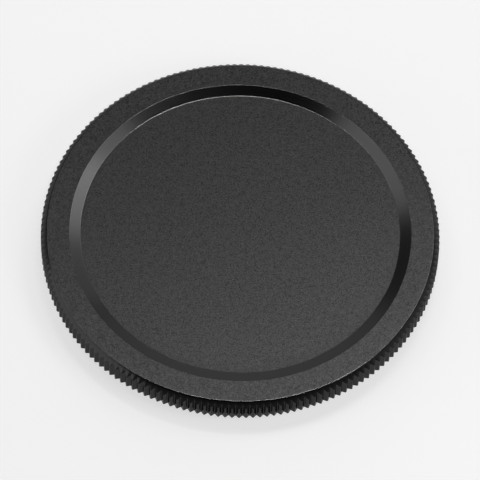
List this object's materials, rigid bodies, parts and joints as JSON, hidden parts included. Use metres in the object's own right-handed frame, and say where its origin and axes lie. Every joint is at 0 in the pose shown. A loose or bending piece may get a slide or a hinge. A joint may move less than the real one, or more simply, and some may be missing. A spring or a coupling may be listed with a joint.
{
  "type": "lens cap",
  "caption": "Round screw-in metal lens cap with a knurled rim, a shallow dished outer face and a short threaded spigot on its back.",
  "frame": {"origin": "centre of the spigot's end face, on which the cap stands", "axes": "+Z along the cap's axis, up through the outer face"},
  "size_m": [0.07, 0.07, 0.0065],
  "materials": {
    "anodised_metal": "black anodised, blasted matt on the flat faces and satin on the turned slopes and the knurl"
  },
  "bodies": {
    "root": {"cap": "anodised_metal"}
  },
  "joints": []
}
